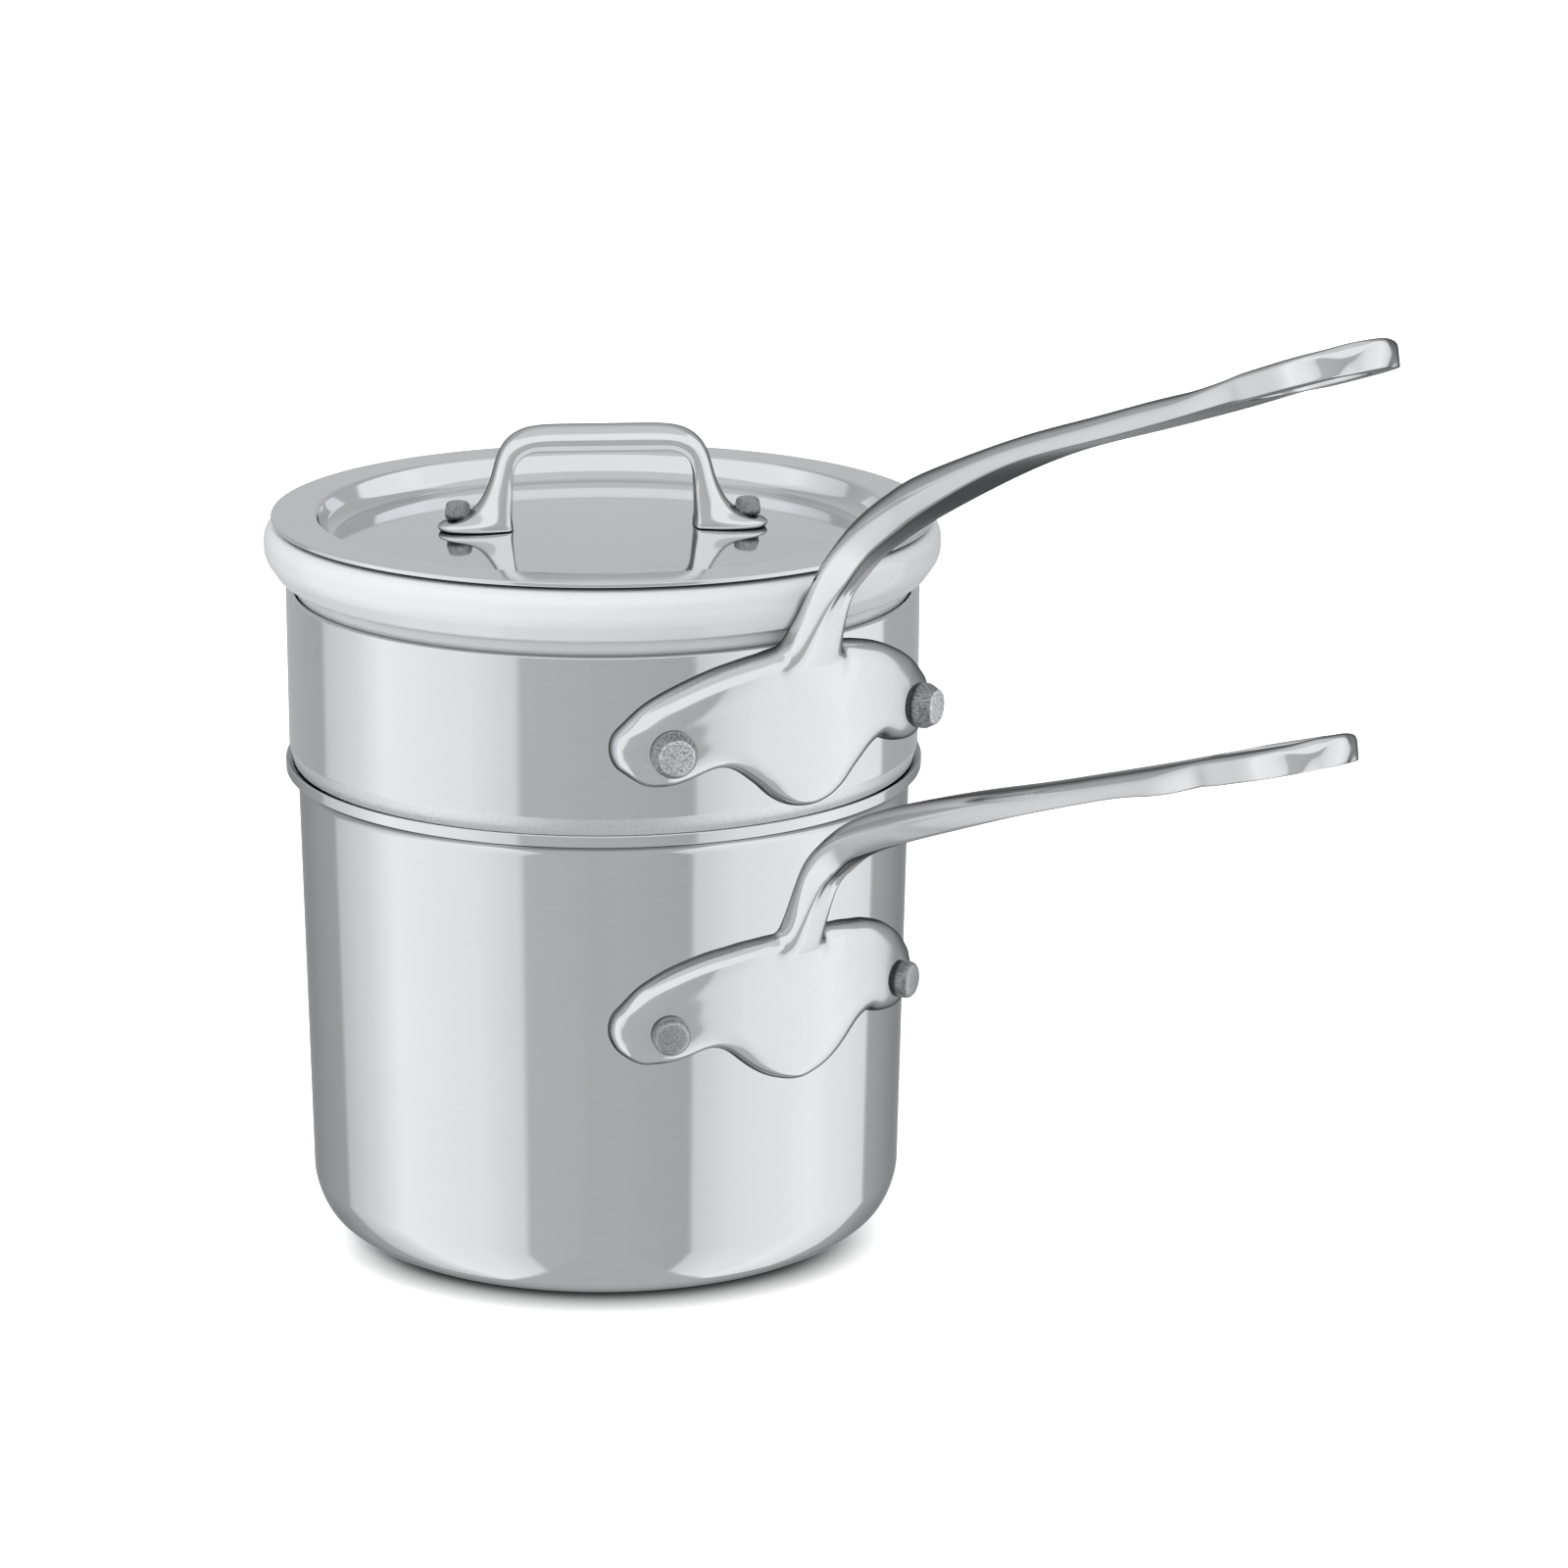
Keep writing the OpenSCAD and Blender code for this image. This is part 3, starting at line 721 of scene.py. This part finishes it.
def longHandle(node, shape, body):
    bm = bmesh.new()
    for tag in ("column", "row", "layer", "step"):
        bm.verts.layers.int.new(tag)
    crease = bm.edges.layers.float.new("crease_edge")
    last, rows = len(shape["columns"]) - 1, castForm["rows"]
    bmesh.ops.create_grid(bm, x_segments=2 * last, y_segments=rows, size=1)
    for vert in bm.verts:
        tagVerts(bm, [vert], column=round(vert.co.x * last), row=round((vert.co.y + 1) * rows / 2))
    middle = extrudeOn(bm, bm.faces[:], keep=True)
    tagVerts(bm, vertsOf(middle), layer=1)
    back = extrudeOn(bm, middle)
    tagVerts(bm, vertsOf(back), layer=2)
    column, row = bm.verts.layers.int["column"], bm.verts.layers.int["row"]
    layer, step = bm.verts.layers.int["layer"], bm.verts.layers.int["step"]
    tip = [
        face for face in bm.faces
        if all(v[row] == rows and abs(v[column]) <= 2 for v in face.verts)]
    slotted = slottedRows(shape)
    firstEnd = len(shape["stem"])
    steps = firstEnd + len(slotted) - 1
    for index in range(1, steps + 1):
        tip = extrudeOn(bm, tip)
        tagVerts(bm, vertsOf(tip), step=index)
    # the slot opens both faces of the end, and bridge_loops gives it its wall
    for side in (0, 2):
        covers = [
            face for face in bm.faces if all(
                v[layer] == side and abs(v[column]) <= 1 and firstEnd <= v[step] < steps
                for v in face.verts)]
        bmesh.ops.delete(bm, geom=covers, context="FACES")
    rims = [edge for edge in bm.edges if edge.is_boundary]
    bmesh.ops.bridge_loops(bm, edges=rims)
    creases = castForm["creases"]
    for edge in rims:
        edge[crease] = creases["slot"]
    for edge in bm.edges:
        a, b = edge.verts
        layers, stations = {a[layer], b[layer]}, {a[step], b[step]}
        if stations != {0} and layers == {0} and a[column] == b[column] and abs(a[column]) == 2:
            edge[crease] = creases["stem" if min(stations) > 1 else "neck"]
        elif stations == {steps} and layers == {0} and edge not in rims:
            edge[crease] = creases["stem"]
        elif stations == {0} and layers == {2} and a[row] == b[row] and a[row] in (0, rows):
            edge[crease] = creases["back"]
    places = bracketPlaces(shape)
    slope = math.radians(shape["endSlope"])
    rising = Vector((math.cos(slope), math.sin(slope)))
    targets = []
    for vert in bm.verts:
        index = vert[step] - firstEnd
        if vert[step] == 0:
            point = bracketPoint(shape, places, vert[column], vert[row], vert[layer])
        elif index < 0:
            point = stemPoint(shape, slotted, rising, vert[column], vert[layer], vert[step])
        else:
            point = endPoint(shape, slotted, rising, vert[column], vert[layer], index)
        vert.co = point * mm
        # the root of the neck finds its own smooth shape
        free = (
            vert[layer] < 2 and vert[step] < 2 and vert[row] >= rows - 1
            and 1 < abs(vert[column]) < 4)
        targets.append(None if free else vert.co.copy())
    surface = surfaces[shape["steel"]]
    piece = finishMesh(bm, node + "_casting", surface, body, node, sharpFrom=180)
    piece.visible_glossy = False    # the pans' walls don't mirror it
    pullToShape(piece, targets)


# Moves the cage until the finished surface passes through the wanted points. A vertex without
# one stays, and the surface runs smoothly past it.
def pullToShape(piece, targets, rounds=4):
    modifier = piece.modifiers.new("smooth", "SUBSURF")
    modifier.levels = modifier.render_levels = 2
    for turn in range(rounds):
        shown = piece.evaluated_get(bpy.context.evaluated_depsgraph_get())
        mesh = shown.to_mesh()
        moves = [
            target - mesh.vertices[index].co if target else Vector()
            for index, target in enumerate(targets)]
        shown.to_mesh_clear()
        for vert, move in zip(piece.data.vertices, moves):
            vert.co += move
        piece.data.update()
        bpy.context.view_layer.update()
    modifier.levels = modifier.render_levels = 3


# Lid handle: inner point and outer point of each section from the foot to the crown, as
# distance from the axis and height above the feet, then the width. The feet's undersides stand
# off the lid's disc, given as the height of its middle and its radius, by a gap.
bow = dict(
    turn=57.4, feet=134.7, disc=(135.4, 535), gap=0.12,
    sections=[
        (17.3, 0, 30.6, 0, 10.4), (17.1, 0.7, 31.2, 0.7, 10.9), (17.2, 1.5, 30.3, 1.6, 10.8),
        (17.3, 2.4, 27.4, 2.6, 10.3), (17.3, 3.9, 24.4, 4.2, 9.5), (17.2, 6.2, 22.5, 6.8, 8.6),
        (17.1, 9, 21.2, 9.9, 7.7), (16.7, 11.6, 20.3, 13.1, 7.2), (15.6, 13.6, 18.7, 16.6, 7),
        (13.4, 14.8, 15.6, 19, 7), (10.4, 15, 11.3, 19.9, 7), (5, 15, 5.3, 20, 7),
        (0, 15, 0, 20, 7),
    ],
    # across and outward, as shares, for the columns 0, 1 and 2 of each layer
    form=[
        [(0, 0), (0.48, 0.0), (0.90, 0.05)],
        [(0, 0.45), (0.5, 0.42), (1, 0.40)],
        [(0, 1), (0.45, 0.93), (0.80, 0.76)],
    ],
    creases=dict(inner=0.45, foot=0.6),
)


def bowPoint(column, layer, step):
    sections = bow["sections"]
    last = len(sections) - 1
    xIn, zIn, xOut, zOut, width = sections[min(step, 2 * last - step)]
    across, out = bow["form"][layer][abs(column)]
    x = xIn + (xOut - xIn) * out
    z = zIn + (zOut - zIn) * out
    y = sideOf(column) * across * width / 2
    if step in (0, 2 * last):
        top, bend = bow["disc"]
        z = top - (x * x + y * y) / (2 * bend) + bow["gap"] - bow["feet"]
    if step > last:
        x = -x
    turn = math.radians(bow["turn"])
    return Vector((
        x * math.cos(turn) - y * math.sin(turn), x * math.sin(turn) + y * math.cos(turn),
        bow["feet"] + z))


def lidHandle():
    bm = bmesh.new()
    for tag in ("column", "layer", "step"):
        bm.verts.layers.int.new(tag)
    crease = bm.edges.layers.float.new("crease_edge")
    bmesh.ops.create_grid(bm, x_segments=4, y_segments=2, size=1)
    for vert in bm.verts:
        tagVerts(bm, [vert], column=round(vert.co.x * 2), layer=round(vert.co.y + 1))
    column, layer, step = (bm.verts.layers.int[tag] for tag in ("column", "layer", "step"))
    steps = 2 * len(bow["sections"]) - 2
    end = bm.faces[:]
    for index in range(1, steps + 1):
        end = extrudeOn(bm, end, keep=index == 1)
        tagVerts(bm, vertsOf(end), step=index)
    for edge in bm.edges:
        a, b = edge.verts
        if a[layer] == b[layer] == 0 and a[column] == b[column] and abs(a[column]) == 2:
            edge[crease] = bow["creases"]["inner"]
        elif a[step] == b[step] and a[step] in (0, steps):
            if all(abs(vert[column]) == 2 or vert[layer] != 1 for vert in edge.verts):
                edge[crease] = bow["creases"]["foot"]
    targets = []
    for vert in bm.verts:
        vert.co = bowPoint(vert[column], vert[layer], vert[step]) * mm
        targets.append(vert.co.copy())
    surface = surfaces["bowCast"]
    piece = finishMesh(
        bm, "lid_handle_casting", surface, "lid", "lid_handle", sharpFrom=180)
    pullToShape(piece, targets)


def plainObject(name, bm, material):
    mesh = bpy.data.meshes.new(name)
    bm.to_mesh(mesh)
    bm.free()
    mesh.materials.append(material)
    piece = bpy.data.objects.new(name, mesh)
    scene.collection.objects.link(piece)
    return piece


ambient = 0.80      # strength of the world for diffuse light


# White for the camera and in reflections, and dimmer as a light
def makeWorld():
    world = bpy.data.worlds.new("World")
    scene.world = world
    world.use_nodes = True
    tree = world.node_tree
    rays = addNode(tree, "LightPath").outputs
    shown = calc(tree, "MAXIMUM", rays["Is Camera Ray"], rays["Is Glossy Ray"])
    shown = calc(tree, "MAXIMUM", shown, rays["Is Transmission Ray"])
    feedAll(tree, tree.nodes["Background"], {
        "Color": (1, 1, 1, 1), "Strength": rise(tree, shown, low=ambient, high=1),
    })


# A round tent of cloth that only reflections see. Heights are sines, seen from its middle.
tent = dict(
    radius=6, meridians=96, rings=48, cool=0.015,
    # brightness by turn from the camera in degrees, as polished steel shows it
    tones=[
        (-180, 0.56), (-150, 0.50), (-124, 0.44), (-121.5, 0.46), (-119.5, 0.66), (-100, 0.80),
        (-85, 1.0), (-78, 0.97), (-50, 0.90), (-38, 0.80), (-31.5, 0.75), (-30, 0.51), (0, 0.48),
        (32, 0.44), (33.5, 0.70), (50, 0.86), (74, 0.93), (86, 1.0), (96, 0.94), (119.5, 0.90),
        (121.5, 0.47), (150, 0.46), (180, 0.56),
    ],
    front=(0.90, 0.91, 0.92), frontFrom=0.27, frontSoft=0.02,   # the camera's half, above a height
    top=(0.64, 0.65, 0.66), topFrom=0.80, topSoft=0.03,
    # a strip of ground under the object, by its half width per unit of depth
    strip=(0.47, 0.475, 0.48), stripHalf=0.36, stripSoft=0.02,
    # the shaded ground behind the object and below a depth, as shares of the radius
    shaded=(0.43, 0.435, 0.445), behind=-0.56, below=-0.46, shadedSoft=0.05,
)


def makeTent():
    material, tree, shader = newMaterial("tentTones")
    material.cycles.emission_sampling = "NONE"
    tree.nodes.remove(shader)
    place = objectPlace(tree)
    toCamera = math.atan2(view["place"][1], view["place"][0])
    turned = addNode(tree, "Mapping", Vector=place, Rotation=(0, 0, -toCamera)).outputs[0]
    forward, aside, up = split(tree, turned)
    height = calc(tree, "DIVIDE", up, tent["radius"])
    sweep = addNode(tree, "TexGradient", gradient_type="RADIAL", Vector=turned)
    cool = tent["cool"]
    colour = ramp(
        tree, sweep.outputs["Fac"], [turn / 360 + 0.5 for turn, tone in tent["tones"]],
        [(tone * (1 - cool), tone, tone * (1 + cool)) for turn, tone in tent["tones"]])

    # a negative soft turns the rise round
    def above(value, start, soft, curve="LINEAR"):
        return rise(tree, value, start - soft, start + soft, curve=curve)

    front = calc(
        tree, "MULTIPLY", above(height, tent["frontFrom"], tent["frontSoft"]),
        calc(tree, "GREATER_THAN", forward, 0))
    colour = blendColour(tree, front, colour, (*tent["front"], 1))
    colour = blendColour(
        tree, above(height, tent["topFrom"], tent["topSoft"]), colour, (*tent["top"], 1))
    # below the horizon the height is negative
    share = calc(tree, "DIVIDE", calc(tree, "ABSOLUTE", aside), up)
    strip = calc(
        tree, "MULTIPLY", above(share, -tent["stripHalf"], tent["stripSoft"]),
        calc(tree, "LESS_THAN", height, 0))
    colour = blendColour(tree, strip, colour, (*tent["strip"], 1))
    soft = -tent["shadedSoft"]
    behind = calc(tree, "DIVIDE", forward, tent["radius"])
    shaded = calc(
        tree, "MULTIPLY", above(behind, tent["behind"], soft, "SMOOTHSTEP"),
        above(height, tent["below"], soft, "SMOOTHSTEP"))
    colour = blendColour(tree, shaded, colour, (*tent["shaded"], 1))
    glow = addNode(tree, "Emission", Strength=1, Color=colour)
    tree.links.new(glow.outputs[0], tree.nodes["Material Output"].inputs["Surface"])
    bm = bmesh.new()
    bmesh.ops.create_uvsphere(
        bm, u_segments=tent["meridians"], v_segments=tent["rings"], radius=tent["radius"])
    piece = plainObject("lightTent", bm, material)
    piece.visible_camera = piece.visible_diffuse = piece.visible_shadow = False
    piece.visible_transmission = piece.visible_volume_scatter = False


# White floor with a painted shadow round the object's foot, strongest on the camera's side
floorLook = dict(
    size=4, colour=0.86, glow=0.90,
    shadowReach=0.011,              # reach of the dark line under the foot
    shadowTurn=(0.2, 0.8),     # cosines of the turns from the camera between which it fades in
    shadowBehind=0.25,         # share of it that is left at the sides and behind
)


def makeFloor():
    material, tree, shader = newMaterial("whiteFloor")
    material.cycles.emission_sampling = "NONE"
    # painted shadow: ambient occlusion darkens the floor's colour and its glow near the object
    near = addNode(tree, "AmbientOcclusion", Distance=floorLook["shadowReach"]).outputs["AO"]
    outward = addNode(tree, "VectorMath", operation="NORMALIZE", Vector=objectPlace(tree))
    facing = addNode(tree, "VectorMath", operation="DOT_PRODUCT", Vector=outward.outputs[0])
    facing.inputs[1].default_value = Vector((*view["place"][:2], 0)).normalized()
    start, end = floorLook["shadowTurn"]
    front = rise(
        tree, facing.outputs["Value"], start, end, low=floorLook["shadowBehind"],
        curve="SMOOTHSTEP")
    unshadowed = blend(tree, front, 1.0, near)
    colour = calc(tree, "MULTIPLY", unshadowed, floorLook["colour"])
    seen = calc(tree, "MULTIPLY", unshadowed, addNode(tree, "LightPath").outputs["Is Camera Ray"])
    glow = calc(tree, "MULTIPLY", calc(tree, "MULTIPLY", seen, unshadowed), floorLook["glow"])
    grey = addNode(tree, "CombineColor", Red=colour, Green=colour, Blue=colour)
    feedAll(tree, shader, {
        "Base Color": grey.outputs[0], "Roughness": 1, "Specular IOR Level": 0,
        "Emission Color": (1, 1, 1, 1), "Emission Strength": glow,
    })
    bm = bmesh.new()
    bmesh.ops.create_grid(bm, x_segments=1, y_segments=1, size=floorLook["size"])
    plainObject("floor", bm, material).visible_glossy = False


softLight = dict(place=(0.2, -1.0, 1.3), aim=(0, 0, 0.1), size=(1.2, 0.9), energy=8)


def makeLamp():
    data = bpy.data.lights.new("softLight", "AREA")
    data.shape = "RECTANGLE"
    data.size, data.size_y = softLight["size"]
    data.energy = softLight["energy"]
    lamp = bpy.data.objects.new("softLight", data)
    lamp.location = softLight["place"]
    aim = Vector(softLight["aim"]) - Vector(softLight["place"])
    lamp.rotation_euler = aim.to_track_quat("-Z", "Y").to_euler()
    lamp.visible_glossy = False
    scene.collection.objects.link(lamp)


print("camera and studio")
makeCamera()
makeWorld()
makeTent()
makeFloor()
makeLamp()
scene.view_settings.view_transform = "Standard"

print("materials")
surfaces = {name: makeSteel(name) for name in steels}
surfaces["glazedPorcelain"] = makePorcelain()

print("turned pieces")
for shape in (lowerPan, upperRing, porcelainBowl, lidSheet):
    turnedPiece(shape)

print("rivets")
for side, word in ((-1, "left"), (1, "right")):
    for kind in ("upper", "lower", "lid"):
        rivetPiece(kind, side, word)

print("handles")
longHandle("upper_handle", upperHandle, "upper_pan")
longHandle("lower_handle", lowerHandle, "lower_pan")
lidHandle()
